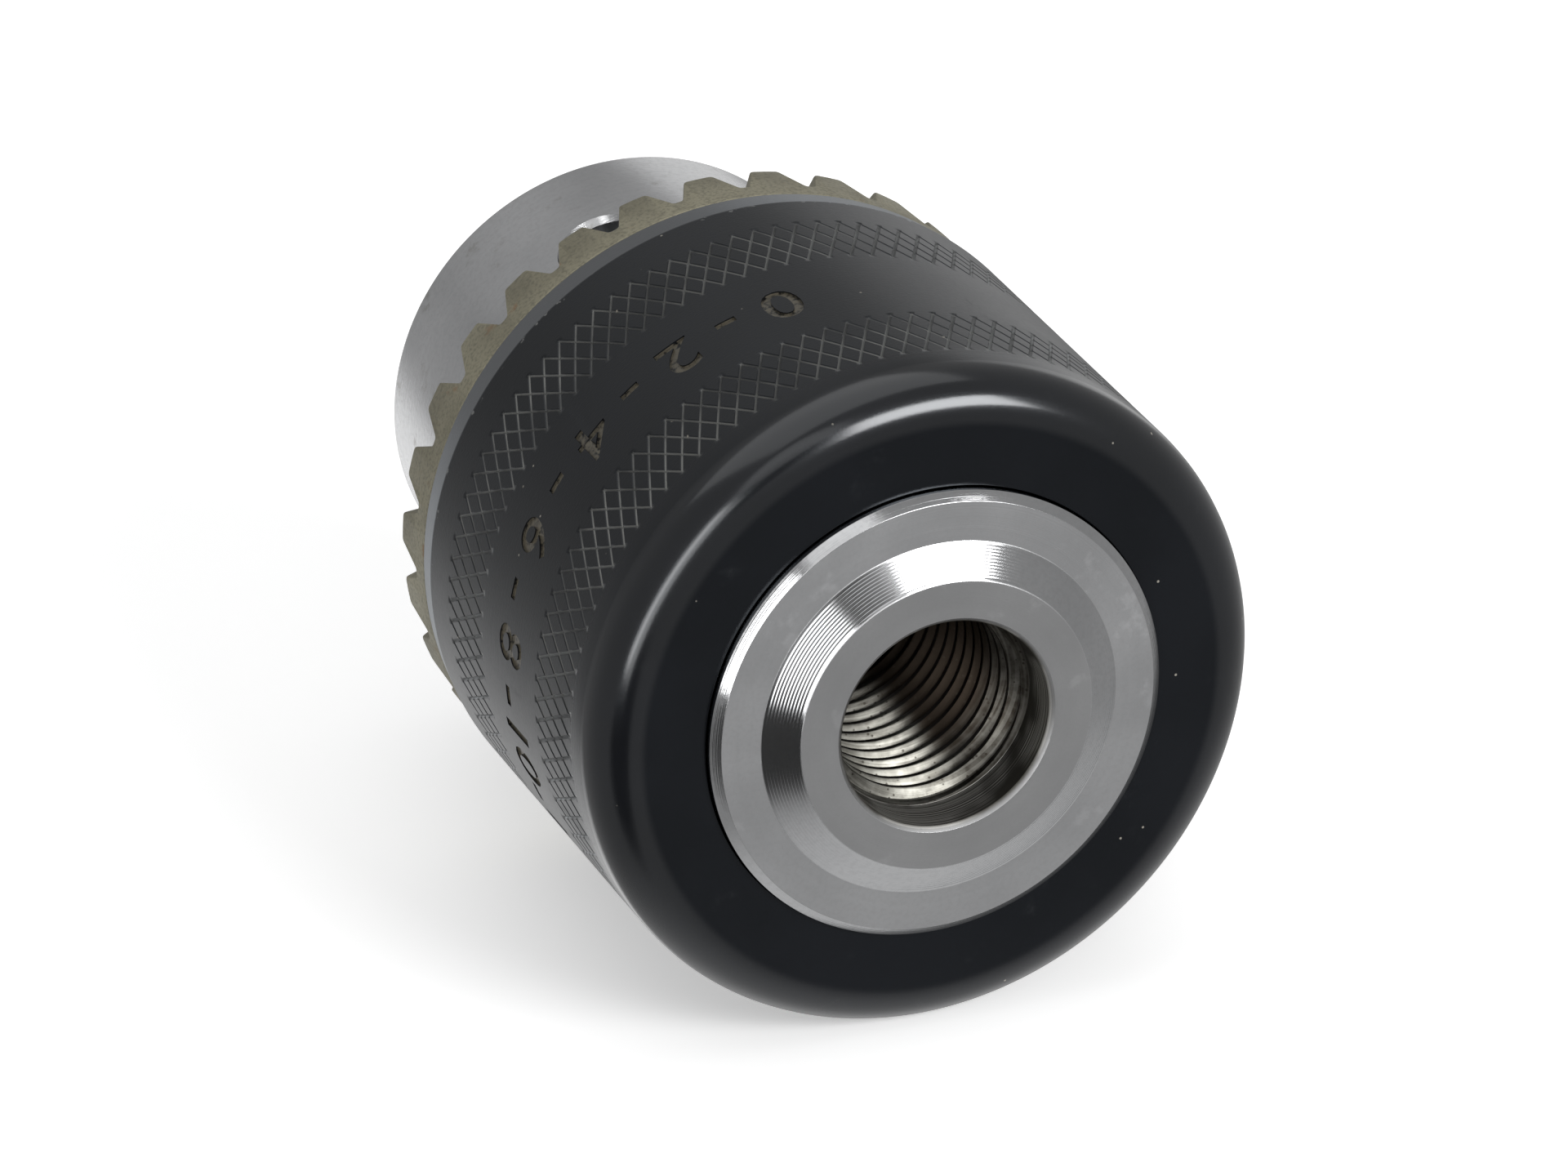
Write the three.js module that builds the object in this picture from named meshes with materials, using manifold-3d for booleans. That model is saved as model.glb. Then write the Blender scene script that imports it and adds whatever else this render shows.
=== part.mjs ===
// Keyed drill chuck, 1.5 to 13 mm, on a 1/2-20 spindle thread, jaws fully open.
// Millimetres. +Y runs along the chuck axis to the nose, +Z is up, and the origin is the
// middle of the rear face that seats on the spindle shoulder.
import * as THREE from 'three';
import { ConvexGeometry } from 'three/addons/geometries/ConvexGeometry.js';
import { mergeVertices } from 'three/addons/utils/BufferGeometryUtils.js';
import Module from 'manifold-3d';

const wasm = await Module();
wasm.setup();

// ---- driving dimensions ----
const SLEEVE_R = 20.6; // over the knurled bands
const PLAIN_R = 20.52; // sleeve between and beyond the bands
const NOSE_R = 14.65;
const NOSE_Y = 52.6; // front end of the nose
const FIT = 0.05; // gap at a pressed joint
const RUN = 0.3; // gap at a running joint
const ROUND = 60; // facets of the large turned pieces
const RACE_ROUND = 48; // facets of the bearing rings
const PAST = 6; // how far a cutter runs past the face it cuts
const DEG = Math.PI / 180;

// spindle socket
const SEAT_R = 9.02; // flat that meets the spindle shoulder
const CONE_R = 11.06;
const CONE_Y = 1.17;
const DISC_R = 14.0;
const DISC_Y = 1.22; // flat outside the cone
const DISC_BEVEL = 0.5;
const MOUTH_R = 6.74;
const SOCKET_R = 6.45; // plain length ahead of the thread
const THREAD_R = 5.72; // minor radius of the 1/2-20 thread
const THREAD_START = 3.1;
const THREAD_LEAD = 0.4; // run-in from the plain length
const THREAD_END = 19.0;
const LINK_R = 3.4; // hole that joins socket and shank bore
const LINK_TAPER = 1.2; // drill-point cone at each end of it
const SHANK_R = 6.9;
const SHANK_Y = 22.5; // floor of the shank bore

// body
const BODY_R = 18.2;
const BODY_REAR = 5.8;
const BODY_EDGE = 0.3;
const SHOULDER_Y = 22.9; // face that takes the jaw thrust
const BEARING_FLOOR_R = 15.3;
const NOSE_REAR = 33.9;
const NOSE_BEVEL = 0.5;
const WAIST = 0.45; // the nut's groove is this far inside the jaw backs

// sleeve
const SLEEVE_REAR = 2.06;
const FILLET_R = 2.75;
const FILLET_STEPS = 5;
const FLANGE_Y = 5.4; // inner face of the rear flange
const SLEEVE_BORE = 18.7;
const BANDS = [[6.54, 12.31], [20.9, 26.6]]; // knurled bands
const BEVEL_Y = 29.68;
const SLEEVE_FRONT = 31.64;
const FRONT_R = 20.3;

// toothed ring and the key that turns it
const TEETH = 30;
const TOOTH_PHASE = 3.65; // angle of the first gap, degrees
const RING_R = 20.27;
const TIP_Y = 35.5;
const ROOT_Y = 33.25;
const KEY_Y = 42.3; // key axis, where the tooth lines meet
const KEY_R = 3.0; // pilot hole of the key
const KEY_ANGLES = [108, 228, 348];
const TOOTH_IN_R = 16.6;
const STEP_IN = 0.3; // foot of the step from the teeth to the plate
const RING_BORE = NOSE_R + 0.4;
const PLATE_FRONT = 34.6; // face inside the teeth
const GAP_TIP = 3.6 * DEG; // half width of a gap at the tips
const GAP_ROOT = 0.9 * DEG;
const GAP_ABOVE = 1.4; // the tooth cutter stands this far clear of the tips
const GAP_SCALES = [0.62, 1.12]; // inner and outer end of the tooth cutter

// jaws
const JAW_ANGLES = [48, 168, 288];
const JAW_TILT = 15 * DEG;
const JAW_R = 4.2;
const JAW_GAP = 0.25;
const JAW_ROOM = 0.45; // bore past the tail of the jaw
const JAW_TIP_Y = 48.5; // tip when the chuck is fully open
const JAW_TIP_R = 4.8; // radius of the bar's own axis at the tip
const JAW_TAIL_Y = 7.0;
const GRIP_R = 6.5; // gripping edge, half of the 13 mm capacity
const JAW_CLIP_R = 18.1; // tail corners are turned off inside the sleeve
const JAW_FACETS = 24;
const GRIP_HALF_ANGLE = 60 * DEG;

// nut and thrust bearing
const NUT_REAR = 27.65;
const NUT_FRONT = 32.8;
const PLATE_REAR = NUT_FRONT + 0.15;
const NUT_CLEAR = JAW_GAP + 0.02; // between the nut and the backs of the jaws
const NUT_R = SLEEVE_BORE - 0.1;
const SPLIT = 0.3; // gap between the two nut halves
const BALLS = 16;
const BALL_R = 1.0;
const BALL_PITCH_R = 17.1;
const BALL_Y = 25.35;
const BALL_PLAY = 0.1;
const BALL_FACETS = [10, 7];
const RACE_IN_R = BALL_PITCH_R - 1.0;
const RACE_OUT_R = BALL_PITCH_R + 1.3;
const CAGE_IN_R = BALL_PITCH_R - 1.35;
const CAGE_OUT_R = BALL_PITCH_R + 1.4;
const CAGE_HALF = 0.35;

const STEEL = { color: 0xa9aaa8, roughness: 0.35, metalness: 1.0 };
const BLACKED = { color: 0x2a2b2e, roughness: 0.45, metalness: 0.8 };
const HARDENED = { color: 0x85826f, roughness: 0.65, metalness: 0.7 };
const BRIGHT = { color: 0xc4c6c8, roughness: 0.12, metalness: 1.0 };
const BRASS = { color: 0xb39256, roughness: 0.35, metalness: 1.0 };

const group = new THREE.Group();

// ---- helpers ----
function addPiece(name, geometry, finish) {
  const mesh = new THREE.Mesh(geometry, new THREE.MeshStandardMaterial(finish));
  mesh.name = name;
  group.add(mesh);
}

// Ring or disc turned about Y from (radius, y) corners that run round the outline.
function turned(corners, facets = ROUND) {
  const outline = corners.map(([r, y]) => new THREE.Vector2(r, y));
  outline.push(outline[0].clone());
  return new THREE.LatheGeometry(outline, facets);
}

function solid(geometry) {
  const bare = geometry.index ? geometry.clone() : mergeVertices(geometry);
  bare.deleteAttribute('normal');
  if (bare.getAttribute('uv')) bare.deleteAttribute('uv');
  const merged = mergeVertices(bare, 1e-4);
  return new wasm.Manifold(new wasm.Mesh({
    numProp: 3,
    vertProperties: new Float32Array(merged.attributes.position.array),
    triVerts: new Uint32Array(merged.index.array),
  }));
}

function geometryOf(manifold) {
  const mesh = manifold.getMesh();
  const geometry = new THREE.BufferGeometry();
  geometry.setAttribute('position', new THREE.BufferAttribute(mesh.vertProperties, 3));
  geometry.setIndex(new THREE.BufferAttribute(mesh.triVerts, 1));
  return geometry;
}

// Direction square to the axis at an angle measured from +X towards +Z.
function outward(degrees) {
  return new THREE.Vector3(Math.cos(degrees * DEG), 0, Math.sin(degrees * DEG));
}

// Cylinder between two points.
function rod(from, to, radius, facets) {
  const along = new THREE.Vector3().subVectors(to, from);
  const geometry = new THREE.CylinderGeometry(radius, radius, along.length(), facets);
  const turn = new THREE.Quaternion();
  turn.setFromUnitVectors(new THREE.Vector3(0, 1, 0), along.clone().normalize());
  geometry.applyQuaternion(turn);
  const middle = from.clone().addScaledVector(along, 0.5);
  return geometry.translate(middle.x, middle.y, middle.z);
}

// Point on a jaw's own axis at height y, with the chuck fully open.
function jawAxis(degrees, y) {
  const r = JAW_TIP_R + (JAW_TIP_Y - y) * Math.tan(JAW_TILT);
  return outward(degrees).multiplyScalar(r).setY(y);
}

// Radius that the outer backs of the jaws reach at height y.
function jawBack(y) {
  return JAW_TIP_R + (JAW_TIP_Y - y) * Math.tan(JAW_TILT) + JAW_R / Math.cos(JAW_TILT);
}

// ---- chuck body ----
function bodyBlank() {
  return turned([
    [MOUTH_R, 0], [SEAT_R, 0], [CONE_R, CONE_Y], [DISC_R - DISC_BEVEL, DISC_Y],
    [DISC_R, DISC_Y + DISC_BEVEL], [DISC_R, BODY_REAR], [BODY_R - BODY_EDGE, BODY_REAR],
    [BODY_R, BODY_REAR + BODY_EDGE], [BODY_R, SHOULDER_Y],
    [BEARING_FLOOR_R, SHOULDER_Y], [BEARING_FLOOR_R, BALL_Y],
    [jawBack(NUT_REAR) - WAIST, NUT_REAR], [jawBack(NOSE_REAR) - WAIST, NOSE_REAR],
    [NOSE_R, NOSE_REAR], [NOSE_R, NOSE_Y - NOSE_BEVEL], [NOSE_R - NOSE_BEVEL, NOSE_Y],
    [SHANK_R + NOSE_BEVEL, NOSE_Y], [SHANK_R, NOSE_Y - NOSE_BEVEL],
    [SHANK_R, SHANK_Y], [LINK_R, SHANK_Y - LINK_TAPER],
    [LINK_R, THREAD_END + LINK_TAPER], [THREAD_R, THREAD_END],
    [THREAD_R, THREAD_START + THREAD_LEAD], [SOCKET_R, THREAD_START],
    [SOCKET_R, MOUTH_R - SOCKET_R],
  ]);
}

function chuckBody() {
  let body = solid(bodyBlank());
  for (const angle of JAW_ANGLES) {
    const tail = jawAxis(angle, JAW_TAIL_Y - JAW_ROOM);
    const mouth = jawAxis(angle, NOSE_Y + PAST);
    body = body.subtract(solid(rod(tail, mouth, JAW_R + JAW_GAP, JAW_FACETS)));
  }
  for (const angle of KEY_ANGLES) {
    const inner = outward(angle).setY(KEY_Y);
    const outer = outward(angle).multiplyScalar(NOSE_R + PAST).setY(KEY_Y);
    body = body.subtract(solid(rod(inner, outer, KEY_R, JAW_FACETS)));
  }
  return geometryOf(body);
}

// ---- sleeve ----
function outerSleeve() {
  const corners = [[DISC_R + RUN, FLANGE_Y], [DISC_R + RUN, SLEEVE_REAR]];
  for (let i = 0; i <= FILLET_STEPS; i++) {
    const turn = (i / FILLET_STEPS) * 90 * DEG;
    corners.push([
      PLAIN_R - FILLET_R + FILLET_R * Math.sin(turn),
      SLEEVE_REAR + FILLET_R - FILLET_R * Math.cos(turn),
    ]);
  }
  for (const [start, end] of BANDS) {
    const rise = SLEEVE_R - PLAIN_R;
    corners.push([PLAIN_R, start], [SLEEVE_R, start + rise]);
    corners.push([SLEEVE_R, end - rise], [PLAIN_R, end]);
  }
  corners.push([PLAIN_R, BEVEL_Y], [FRONT_R, SLEEVE_FRONT]);
  corners.push([SLEEVE_BORE, SLEEVE_FRONT], [SLEEVE_BORE, FLANGE_Y]);
  return turned(corners);
}

// ---- toothed ring ----
// One tooth gap: a four-sided wedge whose lines all run to the key's crossing point.
function toothGap(degrees) {
  const points = [];
  const slope = (RING_R * (Math.tan(GAP_TIP) - Math.tan(GAP_ROOT))) / (TIP_Y - ROOT_Y);
  for (const scale of GAP_SCALES) {
    const rootHalf = RING_R * Math.tan(GAP_ROOT);
    const topHalf = RING_R * Math.tan(GAP_TIP) + slope * GAP_ABOVE;
    for (const [half, y] of [[rootHalf, ROOT_Y], [topHalf, TIP_Y + GAP_ABOVE]]) {
      for (const side of [-1, 1]) {
        const y2 = KEY_Y - (KEY_Y - y) * scale;
        const point = new THREE.Vector3(RING_R * scale, y2, side * half * scale);
        points.push(point.applyAxisAngle(new THREE.Vector3(0, 1, 0), -degrees * DEG));
      }
    }
  }
  return new ConvexGeometry(points);
}

function toothedRing() {
  const tipIn = KEY_Y - ((KEY_Y - TIP_Y) * TOOTH_IN_R) / RING_R;
  let ring = solid(turned([
    [SLEEVE_BORE + FIT, PLATE_REAR], [SLEEVE_BORE + FIT, SLEEVE_FRONT + FIT],
    [RING_R, SLEEVE_FRONT + FIT], [RING_R, TIP_Y], [TOOTH_IN_R, tipIn],
    [TOOTH_IN_R - STEP_IN, PLATE_FRONT], [RING_BORE, PLATE_FRONT], [RING_BORE, PLATE_REAR],
  ]));
  for (let i = 0; i < TEETH; i++) {
    ring = ring.subtract(solid(toothGap(TOOTH_PHASE + (i * 360) / TEETH)));
  }
  return geometryOf(ring);
}

// ---- split nut ----
function nutHalf(side) {
  const ring = solid(turned([
    [jawBack(NUT_REAR) + NUT_CLEAR, NUT_REAR], [NUT_R, NUT_REAR],
    [NUT_R, NUT_FRONT], [jawBack(NUT_FRONT) + NUT_CLEAR, NUT_FRONT],
  ]));
  const depth = NUT_R + PAST;
  const block = new THREE.BoxGeometry(2 * depth, depth, depth);
  block.translate(0, (NUT_REAR + NUT_FRONT) / 2, (side * (depth + SPLIT)) / 2);
  return geometryOf(ring.intersect(solid(block)));
}

// ---- thrust bearing ----
function race(rear, front) {
  return turned([
    [RACE_IN_R, rear], [RACE_OUT_R, rear], [RACE_OUT_R, front], [RACE_IN_R, front],
  ], RACE_ROUND);
}

function ballPlace(i) {
  return outward((i * 360) / BALLS).multiplyScalar(BALL_PITCH_R).setY(BALL_Y);
}

function ballCage() {
  let cage = solid(turned([
    [CAGE_IN_R, BALL_Y - CAGE_HALF], [CAGE_OUT_R, BALL_Y - CAGE_HALF],
    [CAGE_OUT_R, BALL_Y + CAGE_HALF], [CAGE_IN_R, BALL_Y + CAGE_HALF],
  ], RACE_ROUND));
  for (let i = 0; i < BALLS; i++) {
    const rear = ballPlace(i).setY(BALL_Y - BALL_R);
    const front = ballPlace(i).setY(BALL_Y + BALL_R);
    cage = cage.subtract(solid(rod(rear, front, BALL_R + BALL_PLAY, BALL_FACETS[0])));
  }
  return geometryOf(cage);
}

function ball(i) {
  const place = ballPlace(i);
  return new THREE.SphereGeometry(BALL_R, ...BALL_FACETS).translate(place.x, place.y, place.z);
}

// ---- jaws ----
// Round bar, inclined to the chuck axis, cut to a 120 degree wedge that grips along an
// edge parallel to the axis, faced off at the tip and turned down at the tail.
function jaw(degrees) {
  const bar = solid(rod(jawAxis(degrees, JAW_TAIL_Y), jawAxis(degrees, JAW_TIP_Y + PAST),
    JAW_R, JAW_FACETS));
  const reach = SLEEVE_R + PAST;
  const spread = (reach - GRIP_R) * Math.tan(GRIP_HALF_ANGLE);
  const wedge = new THREE.Shape();
  wedge.moveTo(GRIP_R, 0);
  wedge.lineTo(reach, -spread);
  wedge.lineTo(reach, spread);
  const sector = new THREE.ExtrudeGeometry(wedge, { depth: NOSE_Y, bevelEnabled: false });
  sector.rotateX(90 * DEG);
  sector.translate(0, JAW_TIP_Y, 0);
  sector.rotateY(-degrees * DEG);
  const inside = solid(turned([[0, 0], [JAW_CLIP_R, 0], [JAW_CLIP_R, NOSE_Y], [0, NOSE_Y]]));
  return geometryOf(bar.intersect(solid(sector)).intersect(inside));
}

// ---- assembly ----
addPiece('chuck_body', chuckBody(), STEEL);
addPiece('outer_sleeve', outerSleeve(), BLACKED);
addPiece('toothed_ring', toothedRing(), HARDENED);
addPiece('nut_half_a', nutHalf(1), STEEL);
addPiece('nut_half_b', nutHalf(-1), STEEL);
addPiece('body_race', race(SHOULDER_Y + FIT, BALL_Y - BALL_R - FIT), BRIGHT);
addPiece('nut_race', race(BALL_Y + BALL_R + FIT, NUT_REAR - FIT), BRIGHT);
addPiece('ball_cage', ballCage(), BRASS);
for (let i = 0; i < BALLS; i++) {
  addPiece(`ball_${String(i + 1).padStart(2, '0')}`, ball(i), BRIGHT);
}
JAW_ANGLES.forEach((angle, i) => addPiece(`jaw_${i + 1}`, jaw(angle), STEEL));

export default group;
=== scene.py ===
"""Keyed drill chuck lying on its side with its jaws fully open.

Metres, +Y along the chuck axis to the nose, +Z up. The origin is the middle of the rear
face that seats on the spindle shoulder. Sizes are in millimetres until times MM.
"""
import math

import bmesh
import bpy
import numpy as np
from mathutils import Matrix, Vector


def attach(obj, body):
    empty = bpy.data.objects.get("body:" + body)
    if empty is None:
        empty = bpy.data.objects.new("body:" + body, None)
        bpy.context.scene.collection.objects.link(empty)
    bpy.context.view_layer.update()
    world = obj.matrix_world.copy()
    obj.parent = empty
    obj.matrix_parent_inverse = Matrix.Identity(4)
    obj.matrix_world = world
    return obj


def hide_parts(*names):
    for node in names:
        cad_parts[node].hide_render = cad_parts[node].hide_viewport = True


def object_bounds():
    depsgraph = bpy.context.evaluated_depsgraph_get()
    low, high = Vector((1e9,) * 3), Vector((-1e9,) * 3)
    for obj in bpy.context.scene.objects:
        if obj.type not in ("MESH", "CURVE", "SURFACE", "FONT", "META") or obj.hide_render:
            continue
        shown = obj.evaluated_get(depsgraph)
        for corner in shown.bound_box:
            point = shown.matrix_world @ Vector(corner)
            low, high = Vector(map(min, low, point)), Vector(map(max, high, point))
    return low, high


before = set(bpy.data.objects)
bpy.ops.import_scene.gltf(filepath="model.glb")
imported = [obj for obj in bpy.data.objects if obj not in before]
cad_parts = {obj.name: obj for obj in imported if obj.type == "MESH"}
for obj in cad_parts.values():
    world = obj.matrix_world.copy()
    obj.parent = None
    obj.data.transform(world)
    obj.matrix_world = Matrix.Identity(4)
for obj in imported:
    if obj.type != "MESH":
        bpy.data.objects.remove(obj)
cad_box = [list(corner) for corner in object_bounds()]
scene = bpy.context.scene
MM = 0.001

# ---- Camera and studio ----
# A long lens looks down on the spindle end from the left. The chuck lies on a plain pale
# table under a wide overhead panel and a narrower one at the right, in a dim grey room
# whose lighter patches and window show in the polished steel.
AZIMUTH, ELEVATION = math.radians(-22.04), math.radians(25.43)
STAND_OFF, AIM = 577 * MM, Vector((-7.3, 6.9, 7.0)) * MM
SENSOR_WIDTH, FOCAL_LENGTH, CLIP_START = 36, 231.2, 0.01
sight = Vector((
    -math.sin(AZIMUTH) * math.cos(ELEVATION),
    math.cos(AZIMUTH) * math.cos(ELEVATION),
    -math.sin(ELEVATION),
))
lens = bpy.data.cameras.new("camera")
lens.sensor_width = SENSOR_WIDTH
lens.lens = FOCAL_LENGTH
lens.clip_start = CLIP_START
camera = bpy.data.objects.new("camera", lens)
scene.collection.objects.link(camera)
camera.location = AIM - sight * STAND_OFF
camera.rotation_euler = sight.to_track_quat("-Z", "Y").to_euler()
scene.camera = camera


class Num:
    """A number on a shader socket. Python's operators add the Math nodes."""

    def __init__(self, shader, socket):
        self.shader = shader
        self.socket = socket

    def maths(self, operation, *values):
        """The result of a Math node."""
        return self.shader.add("ShaderNodeMath", {"operation": operation}, *values)

    def __add__(self, other):
        return self.maths("ADD", self, other)

    __radd__ = __add__

    def __sub__(self, other):
        return self.maths("SUBTRACT", self, other)

    def __rsub__(self, other):
        return self.maths("SUBTRACT", other, self)

    def __mul__(self, other):
        return self.maths("MULTIPLY", self, other)

    __rmul__ = __mul__

    def __pow__(self, other):
        return self.maths("POWER", self, other)

    def __neg__(self):
        return self * -1

    def __abs__(self):
        return self.maths("ABSOLUTE", self)

    def ramp(self, low, high, to_low=0.0, to_high=1.0):
        """Smoothly from to_low to to_high as the number goes from low to high."""
        return self.shader.add(
            "ShaderNodeMapRange", {"interpolation_type": "SMOOTHSTEP"},
            self, low, high, to_low, to_high,
        )


class Nodes:
    """A node tree that grows by maths on numbers and by one call for any other node."""

    def __init__(self, tree):
        self.nodes, self.links = tree.nodes, tree.links

    def add(self, kind, settings, *values, **named):
        """Adds a node, gives it its settings, then its sockets' values or links."""
        node = self.nodes.new(kind)
        for key, setting in settings.items():
            setattr(node, key, setting)
        for socket, value in list(zip(node.inputs, values)) + [
            (node.inputs[key], value) for key, value in named.items()
        ]:
            self.feed(socket, value)
        return Num(self, node.outputs[0])

    def feed(self, socket, value):
        """Links a number or a socket to a socket, or sets the socket's plain value."""
        if isinstance(value, Num):
            self.links.new(value.socket, socket)
        elif isinstance(value, bpy.types.NodeSocket):
            self.links.new(value, socket)
        else:
            socket.default_value = value

    def vector(self, operation, first, second=None, scale=None):
        """The result of a Vector Math node."""
        node = self.nodes.new("ShaderNodeVectorMath")
        node.operation = operation
        self.feed(node.inputs[0], first)
        if second is not None:
            self.feed(node.inputs[1], second)
        if scale is not None:
            node.inputs["Scale"].default_value = scale
        return node.outputs[0]

    def split(self, place):
        """The three numbers of a vector."""
        node = self.nodes.new("ShaderNodeSeparateXYZ")
        self.links.new(place, node.inputs[0])
        return (Num(self, socket) for socket in node.outputs)


class Shader(Nodes):
    """A material on the Principled BSDF, with its place on the chuck ready to use."""

    def __init__(self, name, metallic, roughness):
        self.material = bpy.data.materials.new(name)
        self.material.use_nodes = True
        super().__init__(self.material.node_tree)
        self.surface = self.nodes["Principled BSDF"]
        self.set("Metallic", metallic)
        self.set("Roughness", roughness)
        where = self.nodes.new("ShaderNodeTexCoord").outputs["Object"]
        self.place = self.vector("SCALE", where, scale=1 / MM)
        self.x, self.y, self.z = self.split(self.place)
        self.radius = (self.x * self.x + self.z * self.z) ** 0.5

    def set(self, name, value):
        """Feeds one of the surface's own sockets."""
        self.feed(self.surface.inputs[name], value)

    def noise(self, size, detail=3.0, rough=0.5, stretch=(1, 1, 1)):
        """Cloudy noise from 0 to 1, with features about size millimetres across."""
        place = self.vector("MULTIPLY", self.place, stretch)
        return self.add(
            "ShaderNodeTexNoise", {}, Vector=place, Scale=1 / size, Detail=detail,
            Roughness=rough,
        )

    def lines(self, along, pitch, detail=2.0):
        """Random parallel lines across the number given, about pitch millimetres apart."""
        return self.add(
            "ShaderNodeTexNoise", {"noise_dimensions": "1D"},
            W=along, Scale=1 / pitch, Detail=detail, Roughness=0.6,
        )

    def specks(self, size, spacing):
        """1 inside small round specks, 0 elsewhere."""
        node = self.nodes.new("ShaderNodeTexVoronoi")
        node.inputs["Scale"].default_value = 1 / spacing
        self.links.new(self.place, node.inputs["Vector"])
        near = Num(self, node.outputs["Distance"])
        return near.ramp(size / spacing, 0.6 * size / spacing)

    def mix(self, amount, first, second):
        """Colour between two colours."""
        node = self.nodes.new("ShaderNodeMix")
        node.data_type = "RGBA"
        self.feed(node.inputs["Factor"], amount)
        for socket, colour in (("A", first), ("B", second)):
            target = [i for i in node.inputs if i.name == socket and i.type == "RGBA"][0]
            self.feed(target, (*colour, 1) if isinstance(colour, tuple) else colour)
        return [o for o in node.outputs if o.type == "RGBA"][0]

    def bump(self, height, depth, under=None):
        """Raises the surface by height times depth millimetres."""
        node = self.nodes.new("ShaderNodeBump")
        node.inputs["Strength"].default_value = 1.0
        node.inputs["Distance"].default_value = depth * MM
        self.feed(node.inputs["Height"], height)
        if under is not None:
            self.feed(node.inputs["Normal"], under)
        return node.outputs[0]


ROOM_LIGHT = 0.35
# Way to a patch, cosine at its rim and where it is full, and how much it adds.
ROOM_PATCHES = (
    ((0.54, 0.84, 0.07), 0.94, 0.985, 0.48),
    ((-0.25, 0.84, 0.48), 0.9, 0.98, 0.08),
    ((-0.5, 0.84, -0.12), 0.94, 0.99, 0.06),
    ((-0.43, 0.84, 0.34), 0.97, 0.995, -0.03),
    ((-0.1, 0.88, -0.46), 0.93, 0.985, 0.75),
    ((0.2, -0.1, -0.97), 0.6, 0.95, 0.3),
    ((-0.56, -0.72, -0.4), 0.9, 0.97, -0.3),
    ((-0.2, -0.86, 0.46), 0.96, 0.985, -0.3),
    ((-0.2, -0.71, 0.68), 0.97, 0.982, 0.8),
)
WINDOW_WIDTHWAYS, WINDOW_LENGTHWAYS = (-0.629, 0.587, 0.514), (0.436, -0.162, 0.885)
PANE_LIGHT, CORE_LIGHT = 2.6, 4


def surround():
    """Grey room with lighter and darker patches, and a long window on the camera's side."""
    world = bpy.data.worlds.new("surround")
    world.use_nodes = True
    air = Nodes(world.node_tree)
    x, y, z = air.split(air.nodes.new("ShaderNodeTexCoord").outputs["Generated"])

    def toward(way):
        """Cosine between the way looked and the way given."""
        return x * way[0] + y * way[1] + z * way[2]

    light = ROOM_LIGHT
    for way, rim, full, change in ROOM_PATCHES:
        light = light + toward(way).ramp(rim, full, 0, change)
    across = toward(WINDOW_WIDTHWAYS)
    along = abs(toward(WINDOW_LENGTHWAYS) - 0.02)
    window = along.ramp(0.36, 0.32) * (-y).ramp(0.3, 0.5)
    pane = abs(across).ramp(0.18, 0.14) * PANE_LIGHT
    core = abs(across - 0.05).ramp(0.08, 0.02) * CORE_LIGHT
    air.feed(air.nodes["Background"].inputs["Color"], (1, 1, 1, 1))
    air.feed(air.nodes["Background"].inputs["Strength"], light + window * (pane + core))
    scene.world = world


TABLE_SIZE, TABLE_GLOW = 6, 0.4


def pale_table():
    """White table, which the chuck's bright steel doesn't mirror."""
    table = Shader("table_white", 0.0, 0.6)
    grain = table.noise(40, detail=2)
    table.set("Base Color", table.mix(grain, (0.94, 0.94, 0.94), (0.97, 0.97, 0.97)))
    table.set("Emission Color", (1, 1, 1, 1))
    table.set("Emission Strength", TABLE_GLOW)
    bpy.ops.mesh.primitive_plane_add(size=TABLE_SIZE, location=(0, 0, cad_box[0][2]))
    floor = bpy.context.object
    floor.name = "table"
    floor.visible_glossy = False
    floor.data.materials.append(table.material)


def light_panel(name, way, distance, width, height, radiance):
    """Soft rectangular light that faces the chuck. Its sizes are in metres."""
    panel = bpy.data.lights.new(name, "AREA")
    panel.shape = "RECTANGLE"
    panel.size, panel.size_y = width, height
    panel.energy = radiance * math.pi * width * height
    lamp = bpy.data.objects.new(name, panel)
    lamp.location = Vector(way).normalized() * distance
    lamp.rotation_euler = (-lamp.location).to_track_quat("-Z", "Y").to_euler()
    scene.collection.objects.link(lamp)


scene.view_settings.view_transform = "Standard"
surround()
pale_table()
light_panel("front_right", (0.355, -0.795, 0.475), distance=0.9, width=0.5, height=0.32,
            radiance=10)
light_panel("overhead", (-0.1, 0.25, 1), distance=1.0, width=1.2, height=1.2, radiance=0.7)

# ---- Chuck body ----
# One bar of alloy steel, turned, then bored for the spindle thread, the three slanted
# jaws and the three key holes. The nose is ground, and the spindle end shows tool marks.
NOSE_R, NOSE_Y, NOSE_REAR = 14.65, 52.6, 33.9
DISC_R, DISC_CHAMFER, DISC_EDGE_Y = 14.0, 0.55, 0.49
BODY_R, BODY_REAR, SHOULDER_Y, FLOOR_R = 18.2, 5.8, 22.9, 15.3
NECK_Y, NECK_END, JAW_COVER = 25.35, 27.45, 0.45
SEAT_R, CONE_R, CONE_Y = 9.02, 11.06, 1.17
CONE_MARKS, MARK_DEPTH = 11, 0.011
MOUTH_R, MOUTH_Y, SOCKET_R = 6.74, 0.29, 6.45
THREAD_START, THREAD_END = 3.1, 19.0
MINOR_R, MAJOR_R, THREAD_PITCH = 5.72, 6.35, 1.27
RUN_OUT, LEAD_IN = 1.2 * THREAD_PITCH, 0.9
SHANK_R, SHANK_Y, LINK_R, LINK_TAPER = 6.9, 22.5, 3.4, 1.2
KEY_Y, KEY_R, KEY_ANGLES, KEY_FLOOR, KEY_OUT = 42.3, 3.0, (108, 228, 348), 4, 17
KEY_SINK_FLOOR, KEY_SINK_OUT, KEY_SINK_R, KEY_SINK_FLARE = 13.9, 15.4, 2.8, 1.0
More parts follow.
